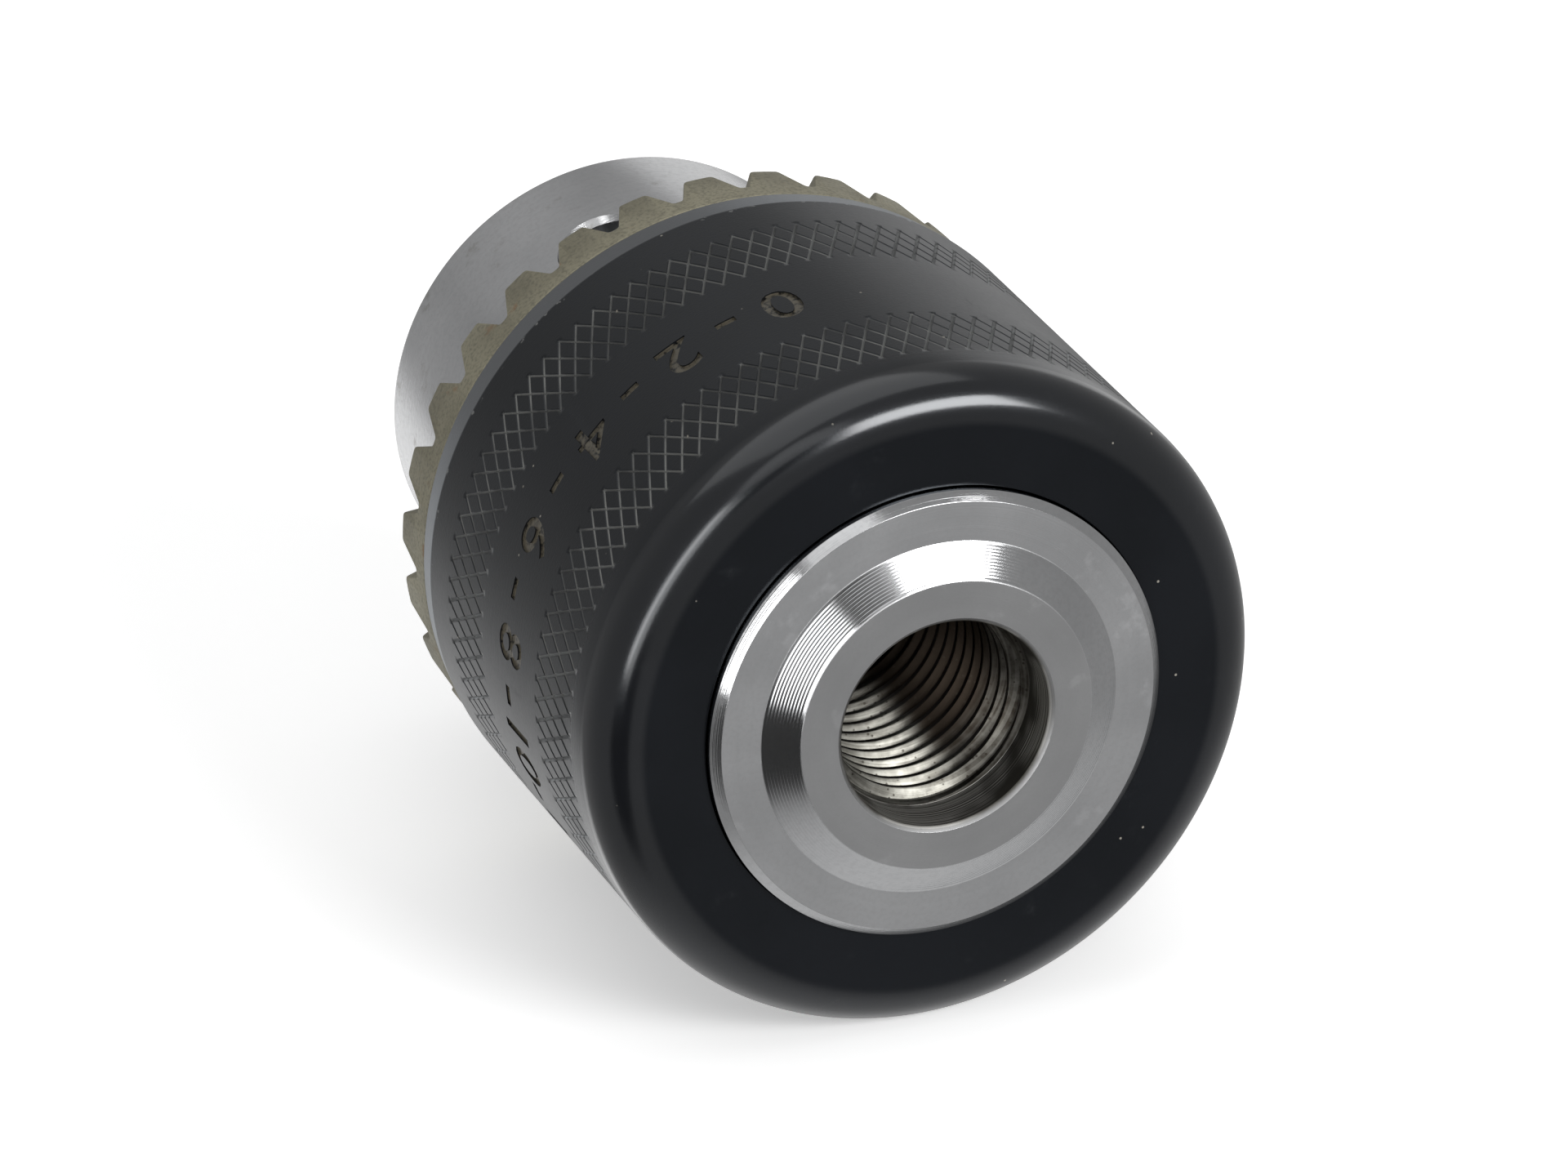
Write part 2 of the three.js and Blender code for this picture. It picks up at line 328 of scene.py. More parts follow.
JAW_ANGLES, JAW_TILT = (48, 168, 288), math.radians(15)
JAW_R, JAW_GAP, JAW_TIP_Y, JAW_TIP_R, JAW_TAIL_Y = 4.2, 0.25, 48.5, 4.8, 7.0
JAW_BORE_REAR, PAST_END = 0.45, 6
FACETS = 240


def rounded(corners, steps=6):
    """Outline whose (r, y, radius) corners are rounded. A corner of two numbers is sharp."""
    points = []
    for i, corner in enumerate(corners):
        here = Vector(corner[:2])
        if len(corner) < 3:
            points.append(here)
            continue
        back = (Vector(corners[i - 1][:2]) - here).normalized()
        ahead = (Vector(corners[(i + 1) % len(corners)][:2]) - here).normalized()
        half = back.angle(ahead) / 2
        centre = here + (back + ahead).normalized() * corner[2] / math.sin(half)
        start = here + back * corner[2] / math.tan(half) - centre
        end = here + ahead * corner[2] / math.tan(half) - centre
        sweep = math.atan2(start.cross(end), start.dot(end))
        for step in range(steps + 1):
            turn = sweep * step / steps
            points.append(centre + start * math.cos(turn)
                          + Vector((-start.y, start.x)) * math.sin(turn))
    return points


def new_piece(name, mesh, material, sharp=30):
    """Links a mesh as a piece with smooth faces and sharp edges past the angle."""
    mesh.materials.clear()
    mesh.materials.append(material)
    mesh.shade_smooth()
    mesh.set_sharp_from_angle(angle=math.radians(sharp))
    piece = bpy.data.objects.new(name, mesh)
    scene.collection.objects.link(piece)
    return piece


def mesh_of(name, vertices, faces, weld=2e-7):
    """Closed mesh in metres, its doubles merged and its faces turned outwards."""
    mesh = bpy.data.meshes.new(name)
    mesh.from_pydata([tuple(v) for v in vertices], [], [tuple(f) for f in faces])
    bm = bmesh.new()
    bm.from_mesh(mesh)
    bmesh.ops.remove_doubles(bm, verts=bm.verts, dist=weld)
    bmesh.ops.dissolve_degenerate(bm, edges=bm.edges, dist=1e-8)
    bmesh.ops.recalc_face_normals(bm, faces=bm.faces)
    bm.to_mesh(mesh)
    bm.free()
    return mesh


def turned_shape(outline, facets, closed=True):
    """Vertices and faces of an outline turned about the chuck axis."""
    angles = np.arange(facets) * 2 * math.pi / facets
    rim = np.array([(p[0], p[1]) for p in outline]) * MM
    vertices = np.stack([
        rim[:, :1] * np.cos(angles), np.repeat(rim[:, 1:], facets, 1),
        rim[:, :1] * np.sin(angles),
    ], axis=2).reshape(-1, 3)
    count = len(outline)
    faces = [
        (i * facets + j, i * facets + (j + 1) % facets,
         (i + 1) % count * facets + (j + 1) % facets, (i + 1) % count * facets + j)
        for i in range(count if closed else count - 1) for j in range(facets)
    ]
    return vertices, faces


def turned(name, outline, facets=FACETS):
    """Closed mesh of an outline turned about the chuck axis."""
    return mesh_of(name, *turned_shape(outline, facets))


def thread_shape(facets):
    """Internal thread from the socket to its run-out, its rows following the helix."""
    form = ((0, 0), (0.25, 0), (0.3, 0.12), (0.5, 0.9), (0.5625, 1), (0.6875, 1), (0.75, 0.9),
            (0.95, 0.12))
    turns = range(-2, math.ceil((THREAD_END - THREAD_START) / THREAD_PITCH) + 1)
    rows = [(THREAD_START + (turn + phase) * THREAD_PITCH, height)
            for turn in turns for phase, height in form]
    vertices = []
    for y, height in rows:
        for j in range(facets + 1):
            here = min(max(y + THREAD_PITCH * j / facets, THREAD_START), THREAD_END)
            fade = min(1, (THREAD_END - here) / RUN_OUT)
            radius = MINOR_R + (MAJOR_R - MINOR_R) * height * fade
            radius = max(radius, SOCKET_R - LEAD_IN * (here - THREAD_START))
            turn = 2 * math.pi * j / facets
            vertices.append((radius * math.cos(turn) * MM, here * MM,
                             radius * math.sin(turn) * MM))
    wide = facets + 1
    faces = [
        (i * wide + j, i * wide + j + 1, (i + 1) * wide + j + 1, (i + 1) * wide + j)
        for i in range(len(rows) - 1) for j in range(facets)
    ]
    flat = {i for i, v in enumerate(vertices) if v[1] in (THREAD_START * MM, THREAD_END * MM)}
    faces = [face for face in faces if not flat.issuperset(face)]
    return vertices, faces


def outward(degrees):
    """Direction square to the axis, at an angle measured from +X towards +Z."""
    turn = math.radians(degrees)
    return Vector((math.cos(turn), 0, math.sin(turn)))


def rod(start, end, radius, facets=96, flare=0):
    """Closed cylinder between two points, its far end wider by flare."""
    along = (end - start).normalized()
    side = along.orthogonal().normalized()
    other = along.cross(side)
    rings = []
    for centre, size in ((start, radius), (end, radius + flare)):
        for i in range(facets):
            turn = 2 * math.pi * i / facets
            rim = side * math.cos(turn) + other * math.sin(turn)
            rings.append((centre + rim * size) * MM)
    faces = [
        (i, (i + 1) % facets, facets + (i + 1) % facets, facets + i) for i in range(facets)
    ]
    faces += [tuple(range(facets))[::-1], tuple(range(facets, 2 * facets))]
    return mesh_of("rod", rings, faces)


def combine(mesh, others, operation="DIFFERENCE"):
    """Cuts a closed mesh by others, joins them to it, or keeps what they share."""
    base = bpy.data.objects.new("base", mesh)
    scene.collection.objects.link(base)
    tools = []
    for other in others:
        tool = bpy.data.objects.new("tool", other)
        scene.collection.objects.link(tool)
        cut = base.modifiers.new("cut", "BOOLEAN")
        cut.operation = operation
        cut.object = tool
        cut.solver = "MANIFOLD"
        tools.append(tool)
    graph = bpy.context.evaluated_depsgraph_get()
    result = bpy.data.meshes.new_from_object(base.evaluated_get(graph))
    for item in tools + [base]:
        bpy.data.objects.remove(item)
    return result


def jaw_axis(degrees, y):
    """Point on a jaw's own axis at height y, with the chuck fully open."""
    radius = JAW_TIP_R + (JAW_TIP_Y - y) * math.tan(JAW_TILT)
    return outward(degrees) * radius + Vector((0, y, 0))


def jaw_back(y):
    """Radius that the outer backs of the jaws reach at height y."""
    return JAW_TIP_R + (JAW_TIP_Y - y) * math.tan(JAW_TILT) + JAW_R / math.cos(JAW_TILT)


def tool_marks(start, end, count, depth):
    """Fine rounded grooves of a turning tool between two outline points."""
    start, end = Vector(start), Vector(end)
    along = (end - start).normalized()
    out = Vector((along.y, -along.x))
    form = (0, 0.5, 1, 0.5)
    points = len(form) * count
    return [start.lerp(end, (i + 0.5) / points) - out * depth * form[i % len(form)]
            for i in range(points)]


body_outline = rounded([
    (SOCKET_R, THREAD_START), (SOCKET_R, MOUTH_Y), (MOUTH_R, 0, 0.03), (SEAT_R, 0, 0.06),
    *tool_marks((SEAT_R + 0.12, 0.07), (CONE_R - 0.1, CONE_Y - 0.06), CONE_MARKS, MARK_DEPTH),
    (CONE_R, CONE_Y, 0.04), (DISC_R - DISC_CHAMFER, CONE_Y + 0.05, 0.03),
    (DISC_R, CONE_Y + DISC_EDGE_Y, 0.05), (DISC_R, BODY_REAR, 0.1), (BODY_R, BODY_REAR, 0.3),
    (BODY_R, SHOULDER_Y, 0.15), (FLOOR_R, SHOULDER_Y, 0.2), (FLOOR_R, NECK_Y),
    (jaw_back(NECK_END + 0.2) - JAW_COVER, NECK_END),
    (jaw_back(NOSE_REAR) - JAW_COVER, NOSE_REAR, 0.15), (NOSE_R, NOSE_REAR, 0.15),
    (NOSE_R, NOSE_Y, 0.45), (SHANK_R, NOSE_Y, 0.5), (SHANK_R, SHANK_Y, 0.2),
    (LINK_R, SHANK_Y - LINK_TAPER, 0.1), (LINK_R, THREAD_END + LINK_TAPER),
    (MINOR_R, THREAD_END),
])
wall, wall_faces = turned_shape(body_outline, FACETS, closed=False)
thread, thread_faces = thread_shape(FACETS)
shift = len(wall)
body_blank = mesh_of(
    "body_blank", list(map(tuple, wall)) + thread,
    wall_faces + [tuple(k + shift for k in face) for face in thread_faces], weld=1e-6,
)
cuts = []
for angle in JAW_ANGLES:
    tail = jaw_axis(angle, JAW_TAIL_Y - JAW_BORE_REAR)
    cuts.append(rod(tail, jaw_axis(angle, NOSE_Y + PAST_END), JAW_R + JAW_GAP))
for angle in KEY_ANGLES:
    lift, out = Vector((0, KEY_Y, 0)), outward(angle)
    cuts.append(rod(out * KEY_FLOOR + lift, out * KEY_OUT + lift, KEY_R))
    cuts.append(rod(out * KEY_SINK_FLOOR + lift, out * KEY_SINK_OUT + lift, KEY_SINK_R,
                    flare=KEY_SINK_FLARE))
body_mesh = combine(body_blank, cuts)


def body_steel():
    """Turned and ground steel, oily and dark down the threaded socket, with a painted highlight
    on the lower left of its wall and painted shade that darkens it deeper in.
    """
    steel = Shader("body_steel", 1.0, 0.3)
    round_marks = steel.lines(steel.radius + steel.y, 0.09)
    wide_marks = steel.lines(steel.radius + steel.y, 0.5)
    cloud = steel.noise(6, detail=4)
    fine = steel.noise(0.3, detail=2)
    stain = steel.noise(2.5, detail=5, rough=0.65).ramp(0.58, 0.7)
    blotch = steel.noise(0.9, detail=4, rough=0.6)
    inside = steel.radius.ramp(SOCKET_R + 0.3, SOCKET_R) * steel.y.ramp(22, 21)
    rear = steel.y.ramp(3, 2)
    cone = rear * steel.radius.ramp(SEAT_R + 0.02, SEAT_R + 0.1)
    cone = cone * steel.radius.ramp(CONE_R, CONE_R - 0.08)
    edge = steel.radius.ramp(DISC_R - 0.6, DISC_R - 0.5) * steel.y.ramp(4, 3)
    nose = steel.y.ramp(NOSE_REAR - 0.9, NOSE_REAR + 0.1) * steel.radius.ramp(13, 14)
    tone = steel.mix(cloud.ramp(0.3, 0.7), (0.53, 0.535, 0.545), (0.585, 0.59, 0.6))
    tone = steel.mix(0.25 * fine.ramp(0.4, 0.7), tone, (0.42, 0.425, 0.43))
    tone = steel.mix(0.2 * wide_marks, tone, (0.42, 0.42, 0.42))
    tone = steel.mix(0.5 * stain * nose, tone, (0.3, 0.29, 0.26))
    seat = rear * steel.radius.ramp(SEAT_R + 0.04, SEAT_R - 0.04) * (1 - inside)
    tone = steel.mix(0.45 * seat, tone, (0.36, 0.36, 0.36))
    # Painted highlight: a fixed lighter patch on the lower left of the socket wall stands in
    # for light falling there.
    painted_highlight = steel.x.ramp(3.2, 1.5) * (-steel.z).ramp(0, 1)
    streaks = steel.lines(steel.y, 0.12).ramp(0.35, 0.65)
    film = 0.5 * blotch.ramp(0.35, 0.65) + 0.5 * streaks
    wall = steel.mix(film, (0.035, 0.03, 0.024), (0.15, 0.145, 0.13))
    wall = steel.mix(painted_highlight, wall, steel.mix(film, (0.12, 0.115, 0.1), (0.3, 0.295, 0.265)))
    # Painted shade: the socket wall darkens to near black deeper in. Under the painted
    # highlight the darkening starts deeper.
    painted_depth_shade = steel.y.ramp(4, 9) * (1 - painted_highlight) + steel.y.ramp(14, 19) * painted_highlight
    wall = steel.mix(painted_depth_shade, wall, (0.022, 0.017, 0.013))
    wall = steel.mix(0.8 * steel.specks(0.1, 0.5), wall, (0.03, 0.025, 0.02))
    patchy = streaks * steel.noise(4, detail=2).ramp(0.4, 0.58)
    socket = steel.mix(patchy, (0.09, 0.085, 0.075), (0.6, 0.59, 0.56))
    mouth = inside * steel.y.ramp(THREAD_START + 0.1, THREAD_START)
    wall = steel.mix(mouth, wall, socket)
    steel.set("Base Color", steel.mix(inside, tone, wall))
    dull = 0.4 + 0.2 * mouth - 0.28 * cone - 0.3 * edge - 0.02 * inside - 0.2 * nose
    uneven = 0.1 * (cloud - 0.5) + 0.08 * (fine - 0.5) + 0.08 * stain
    steel.set("Roughness", dull + uneven * (1 - cone))
    steel.set("Normal", steel.bump((round_marks + 0.6 * fine) * (1 - cone), 0.004))
    return steel.material


body = new_piece("body_turned", body_mesh, body_steel(), sharp=20)
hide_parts("chuck_body")
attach(body, "body")

# ---- Outer sleeve ----
# A steel tube with an inturned rear flange and a rounded rear edge. Two bands are rolled
# with a diamond knurl, a scale is stamped between them, and the whole is blacked.
SLEEVE_R, FILLET_R, REAR_BORE = 20.6, 2.75, DISC_R + 0.08
SLEEVE_REAR, FLANGE_Y, SLEEVE_BORE = 2.06, 5.4, 18.7
BEVEL_Y, SLEEVE_FRONT, FRONT_R = 29.68, 31.64, 20.3
BANDS = ((6.54, 12.31), (20.9, 26.6))
KNURL_COLUMNS, KNURL_SLANT = 96, math.radians(27.5)
KNURL_PITCH = 2 * math.pi * SLEEVE_R / KNURL_COLUMNS
KNURL_HALF_WIDTH, KNURL_DEPTH, KNURL_FADE = 0.12, 0.1, 0.4
COLUMN_STEPS, ON_SURFACE, WELD = 4, 1e-4, 2e-6


def repeat_tree():
    """Geometry Nodes that repeat a wedge round the chuck axis and weld the copies."""
    tree = bpy.data.node_groups.new("repeat_round_axis", "GeometryNodeTree")
    made = tree.interface.new_socket
    made("Wedge", in_out="INPUT", socket_type="NodeSocketGeometry")
    made("Copies", in_out="INPUT", socket_type="NodeSocketInt")
    made("Weld", in_out="INPUT", socket_type="NodeSocketFloat")
    made("Finish", in_out="INPUT", socket_type="NodeSocketMaterial")
    made("Ring", in_out="OUTPUT", socket_type="NodeSocketGeometry")
    kinds = {
        "given": "NodeGroupInput", "points": "GeometryNodePoints",
        "index": "GeometryNodeInputIndex", "turn": "ShaderNodeMath",
        "step": "ShaderNodeMath", "euler": "ShaderNodeCombineXYZ",
        "copy": "GeometryNodeInstanceOnPoints", "real": "GeometryNodeRealizeInstances",
        "weld": "GeometryNodeMergeByDistance", "paint": "GeometryNodeSetMaterial",
        "result": "NodeGroupOutput",
    }
    node = {key: tree.nodes.new(kind) for key, kind in kinds.items()}
    node["turn"].operation = "MULTIPLY"
    node["turn"].inputs[1].default_value = 2 * math.pi
    node["step"].operation = "DIVIDE"
    for source, out, target, into in (
        ("given", "Copies", "points", "Count"), ("index", 0, "turn", 0),
        ("turn", 0, "step", 0), ("given", "Copies", "step", 1), ("step", 0, "euler", "Y"),
        ("points", 0, "copy", "Points"), ("given", "Wedge", "copy", "Instance"),
        ("euler", 0, "copy", "Rotation"), ("copy", 0, "real", 0), ("real", 0, "weld", 0),
        ("given", "Weld", "weld", "Distance"), ("weld", 0, "paint", "Geometry"),
        ("given", "Finish", "paint", "Material"), ("paint", 0, "result", 0),
    ):
        tree.links.new(node[source].outputs[out], node[target].inputs[into])
    return tree


REPEAT = repeat_tree()


def repeated(wedge, copies, finish):
    """Plain mesh of a wedge repeated round the axis."""
    source = bpy.data.objects.new("wedge", wedge)
    scene.collection.objects.link(source)
    modifier = source.modifiers.new("repeat", "NODES")
    modifier.node_group = REPEAT
    given = {"Copies": copies, "Weld": WELD, "Finish": finish}
    for socket in REPEAT.interface.items_tree:
        if socket.name in given:
            modifier[socket.identifier] = given[socket.name]
    graph = bpy.context.evaluated_depsgraph_get()
    mesh = bpy.data.meshes.new_from_object(source.evaluated_get(graph))
    bpy.data.objects.remove(source)
    bm = bmesh.new()
    bm.from_mesh(mesh)
    bmesh.ops.recalc_face_normals(bm, faces=bm.faces)
    bm.to_mesh(mesh)
    bm.free()
    return mesh


def knurl_cuts():
    """Band, point and direction of each groove's edges and floor across one column."""
    for low, high in BANDS:
        middle = (low + high) / 2
        reach = math.tan(KNURL_SLANT) * (high - low) / 2
        for lean in (1, -1):
            for i in range(-4, 6):
                if not -reach <= i * KNURL_PITCH <= KNURL_PITCH + reach:
                    continue
                for offset in (-KNURL_HALF_WIDTH, 0, KNURL_HALF_WIDTH):
                    point = (i * KNURL_PITCH + offset / math.cos(KNURL_SLANT), middle, 0)
                    yield low, high, point, (math.cos(KNURL_SLANT),
                                             -lean * math.sin(KNURL_SLANT), 0)


def knurl_groove(across, y):
    """How deep the knurl is cut at a place on the unrolled sleeve, in millimetres."""
    deepest = 0
    for low, high in BANDS:
        fade = max(0, min(1, (y - low) / KNURL_FADE, (high - y) / KNURL_FADE))
        for lean in (1, -1):
            off = across - lean * math.tan(KNURL_SLANT) * (y - (low + high) / 2)
            off = abs(off - KNURL_PITCH * round(off / KNURL_PITCH)) * math.cos(KNURL_SLANT)
            deepest = max(deepest, fade * (1 - off / KNURL_HALF_WIDTH))
    return KNURL_DEPTH * deepest


def sleeve_column():
    """One knurl pitch of the whole sleeve, cut flat and unrolled, then rolled up."""
    outline = rounded([
        (REAR_BORE, SLEEVE_REAR, 0.06), (SLEEVE_R, SLEEVE_REAR, FILLET_R),
        *((SLEEVE_R, y) for low, high in BANDS
          for y in (low - 0.1, low, low + KNURL_FADE, high - KNURL_FADE, high, high + 0.1)),
        (SLEEVE_R, BEVEL_Y, 0.6), (FRONT_R, SLEEVE_FRONT, 0.12),
        (SLEEVE_BORE, SLEEVE_FRONT, 0.1), (SLEEVE_BORE, FLANGE_Y, 0.3),
        (REAR_BORE, FLANGE_Y, 0.15),
    ], steps=12)
    bm = bmesh.new()
    grid = [[bm.verts.new((KNURL_PITCH * j / COLUMN_STEPS, p[1], p[0]))
             for j in range(COLUMN_STEPS + 1)] for p in outline]
    for i in range(len(outline)):
        after = grid[(i + 1) % len(outline)]
        for j in range(COLUMN_STEPS):
            bm.faces.new((grid[i][j], grid[i][j + 1], after[j + 1], after[j]))
    for low, high, point, across in knurl_cuts():
        faces = [f for f in bm.faces if all(
            v.co.z > SLEEVE_R - ON_SURFACE and low - ON_SURFACE < v.co.y < high + ON_SURFACE
            for v in f.verts)]
        parts = {item for f in faces for item in (f, *f.edges, *f.verts)}
        bmesh.ops.bisect_plane(bm, geom=list(parts), dist=1e-5, plane_co=point, plane_no=across)
    for v in bm.verts:
        u, y, r = v.co
        if r > SLEEVE_R - ON_SURFACE:
            r -= knurl_groove(u, y)
        turn = u / SLEEVE_R
        v.co = (r * math.cos(turn) * MM, y * MM, r * math.sin(turn) * MM)
    mesh = bpy.data.meshes.new("sleeve_column")
    bm.to_mesh(mesh)
    bm.free()
    return mesh


NUMERAL_HEIGHT, FONT_PER_HEIGHT, STROKE_GROWTH = 3.6, 1.36, 0.05
STAMP_DEPTH, SCALE_Y = 0.16, 16.55
SCALE_START, SCALE_STEP, SCALE_COUNT = 100, 19, 7


def stamped(text, degrees):
    """Solid of a character standing through the sleeve wall, its top to the rear."""
    curve = bpy.data.curves.new("stamp", "FONT")
    curve.body = text
    curve.align_x, curve.align_y = "CENTER", "CENTER"
    curve.size = NUMERAL_HEIGHT * FONT_PER_HEIGHT
    curve.offset = STROKE_GROWTH
    curve.extrude = STAMP_DEPTH
    curve.resolution_u = 5
    letter = bpy.data.objects.new("stamp", curve)
    scene.collection.objects.link(letter)
    graph = bpy.context.evaluated_depsgraph_get()
    mesh = bpy.data.meshes.new_from_object(letter.evaluated_get(graph))
    bpy.data.objects.remove(letter)
    places = []
    for v in mesh.vertices:
        turn = math.radians(degrees) + v.co.x / SLEEVE_R
        reach = SLEEVE_R + v.co.z
        places.append(Vector((reach * math.cos(turn), SCALE_Y - v.co.y,
                              reach * math.sin(turn))) * MM)
    return mesh_of("stamp", places, [tuple(p.vertices) for p in mesh.polygons])


def black_oxide():
    """Satin black oxide: bluish, glossier on the rear edge, worn on knurl and bevel, the front
    bevel lighter as bare steel with a painted sheen.
    """
    black = Shader("black_oxide", 0.0, 0.33)
    black.set("Specular IOR Level", 0.33)
    black.set("Specular Tint", (0.86, 0.93, 1, 1))
    black.set("Coat Roughness", 0.15)
    cloud = black.noise(9, detail=4)
    fine = black.noise(0.3, detail=3)
    peel = black.noise(0.16, detail=2)
    dust = black.specks(0.1, 1.7) * black.noise(3, detail=1).ramp(0.54, 0.6)
    scuff = black.noise(3.5, detail=5, rough=0.7, stretch=(1, 0.25, 1)).ramp(0.6, 0.78)
    middle = black.y.ramp(13, 13.5) * black.y.ramp(20, 19.5)
    stamp = black.radius.ramp(SLEEVE_R - 0.06, SLEEVE_R - 0.11) * middle * fine.ramp(0.3, 0.55)
    knurled = black.radius.ramp(SLEEVE_R - 0.02, SLEEVE_R - 0.07) * (1 - middle)
    knurled = knurled * black.y.ramp(6.5, 6.6) * black.y.ramp(26.6, 26.5)
    bevel_bare_and_sheen = black.y.ramp(BEVEL_Y - 0.15, BEVEL_Y + 0.05)
    tone = black.mix(cloud.ramp(0.3, 0.7), (0.0022, 0.0025, 0.0034), (0.0036, 0.004, 0.0054))
    worn = black.noise(5, detail=3).ramp(0.38, 0.62, 0.3, 0.85)
    tone = black.mix(worn * knurled, tone, (0.2, 0.2, 0.19))
    tone = black.mix(0.3 * scuff, tone, (0.022, 0.023, 0.025))
    tone = black.mix(0.75 * stamp, tone, (0.13, 0.115, 0.085))
    # Front bevel: lighter grey all round, partly bare steel and partly a painted sheen for the
    # light it reflects.
    tone = black.mix(0.9 * bevel_bare_and_sheen, tone, (0.11, 0.112, 0.115))
    tone = black.mix(0.7 * dust, tone, (0.3, 0.28, 0.24))
    corner = black.y.ramp(BEVEL_Y - 0.45, BEVEL_Y - 0.1) * (1 - bevel_bare_and_sheen)
    chips = corner * black.noise(0.6, detail=3, rough=0.6).ramp(0.6, 0.66)
    tone = black.mix(0.7 * chips, tone, (0.3, 0.3, 0.29))
    black.set("Base Color", tone)
    satin = 0.21 + black.y.ramp(5, 8, 0, 0.13)
    black.set("Roughness", satin + 0.08 * (cloud - 0.5) + 0.06 * (fine - 0.5) + 0.1 * scuff)
    black.set("Metallic", 0.4 * bevel_bare_and_sheen + 0.6 * knurled * worn + 0.7 * chips)
    black.set("Coat Weight", 0.9 * black.y.ramp(5.2, 4) * black.radius.ramp(17.6, 18.2))
    black.set("Normal", black.bump(peel + 0.5 * black.lines(black.y, 0.15), 0.005))
    return black.material


blacked = black_oxide()
stamps = []
for i in range(SCALE_COUNT):
    stamps.append(stamped(str(2 * i), SCALE_START + i * SCALE_STEP))
    if i < SCALE_COUNT - 1:
        stamps.append(stamped("-", SCALE_START + (i + 0.5) * SCALE_STEP))
sleeve_mesh = combine(repeated(sleeve_column(), KNURL_COLUMNS, blacked), stamps)
sleeve = new_piece("sleeve_blacked", sleeve_mesh, blacked, sharp=24)
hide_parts("outer_sleeve")
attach(sleeve, "sleeve")

# ---- Toothed ring ----
# A hardened steel ring pressed on the front of the sleeve. Its thirty bevel teeth point
# forward and their lines run to the key's axis. Heat treatment left it dull and khaki.
TEETH, TOOTH_PHASE = 30, 3.65
RING_R, TOOTH_IN_R, RING_BORE = 20.27, 16.6, NOSE_R + 0.4
TIP_Y, ROOT_Y = 35.5, 33.25
NUT_REAR, NUT_FRONT = 27.65, 32.8
PLATE_REAR, PLATE_FRONT = NUT_FRONT + 0.15, 34.6
GAP_TIP, GAP_ROOT = math.radians(3.6), math.radians(0.9)
ROOT_ROUND, TIP_ROUND, TOOTH_EDGE, RING_EDGE = 0.3, 0.28, 0.16, 0.15
RING_FIT = 0.05


def tooth_form():
    """Angle and height along one tooth pitch at the outer rim, gap centre to centre."""
    half = math.radians(180 / TEETH)
    form = rounded([(-ROOT_ROUND, ROOT_Y), (GAP_ROOT * RING_R, ROOT_Y, ROOT_ROUND),
                    (GAP_TIP * RING_R, TIP_Y, TIP_ROUND), (half * RING_R, TIP_Y)],
                   steps=5)[1:]
    rising = [(0, ROOT_Y)] + [(p[0], p[1]) for p in form]
    falling = [(2 * half * RING_R - across, y) for across, y in rising[-2::-1]]
    return [(across / RING_R, y) for across, y in rising + falling]


def tooth_wedge():
    """One tooth pitch of the ring, lofted through an outline at each angle."""
    vertices, faces = [], []
    form = tooth_form()
    lip_r, lip_y = SLEEVE_BORE + RING_FIT, SLEEVE_FRONT + RING_FIT
    for turn, y in form:
        turn += math.radians(TOOTH_PHASE)
        inner_y = KEY_Y - (KEY_Y - y) * TOOTH_IN_R / RING_R
        outline = [
            (lip_r, PLATE_REAR), (lip_r, lip_y), (RING_R - 0.1, lip_y), (RING_R, lip_y + 0.1),
            (RING_R, y - TOOTH_EDGE), (RING_R - 0.3 * TOOTH_EDGE, y - 0.3 * TOOTH_EDGE),
            (RING_R - TOOTH_EDGE, y + 0.3 * TOOTH_EDGE),
            (TOOTH_IN_R + TOOTH_EDGE, inner_y - 0.02),
            (TOOTH_IN_R, inner_y - TOOTH_EDGE),
            (TOOTH_IN_R - 0.05, PLATE_FRONT), (RING_BORE + RING_EDGE, PLATE_FRONT),
            (RING_BORE, PLATE_FRONT - RING_EDGE), (RING_BORE, PLATE_REAR),
        ]
        vertices += [(r * math.cos(turn) * MM, h * MM, r * math.sin(turn) * MM)
                     for r, h in outline]
    count = len(outline)
    for i in range(len(form) - 1):
        for k in range(count):
            after = (k + 1) % count
            faces.append((i * count + k, i * count + after,
                          (i + 1) * count + after, (i + 1) * count + k))
    mesh = bpy.data.meshes.new("tooth_wedge")
    mesh.from_pydata(vertices, [], faces)
    return mesh


def khaki_steel():
    """Dull heat-treated steel, grainy and clouded, with a few spots of rust."""
    khaki = Shader("hardened_steel", 0.55, 0.62)
    cloud = khaki.noise(5, detail=4)
    grain = khaki.noise(0.22, detail=3)
    rust = khaki.noise(2.2, detail=4, rough=0.6).ramp(0.62, 0.72)
    tone = khaki.mix(cloud.ramp(0.3, 0.7), (0.2, 0.187, 0.135), (0.29, 0.273, 0.2))
    tone = khaki.mix(0.55 * grain.ramp(0.42, 0.72), tone, (0.12, 0.113, 0.085))
    tone = khaki.mix(0.7 * rust, tone, (0.16, 0.085, 0.035))
    khaki.set("Base Color", tone)
    khaki.set("Metallic", 0.55 - 0.4 * rust)
    khaki.set("Roughness", 0.6 + 0.15 * (grain - 0.5) + 0.15 * rust)
    khaki.set("Normal", khaki.bump(grain, 0.03))
    return khaki.material


khaki = khaki_steel()
ring = new_piece("ring_toothed", repeated(tooth_wedge(), TEETH, khaki), khaki, sharp=38)
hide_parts("toothed_ring")
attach(ring, "sleeve")

# ---- Split nut ----
# A threaded ring broken in two halves, so that it can go round the body in its groove.
# The sleeve is pressed over it, and its thread drives the backs of the jaws.
JAW_PITCH = 2.117
TOOTH_RISE = JAW_PITCH * math.cos(JAW_TILT)
NUT_GROOVE, NUT_GROOVES, FIRST_GROOVE = ((1.1, 0), (0.75, 0.75), (0.35, 0.75), (0, 0)), 3, 0.5
NUT_CLEAR, NUT_R, NUT_EDGE = JAW_GAP + 0.04, SLEEVE_BORE - 0.08, 0.3
NUT_SPLIT, NUT_FACETS = 0.15, 180


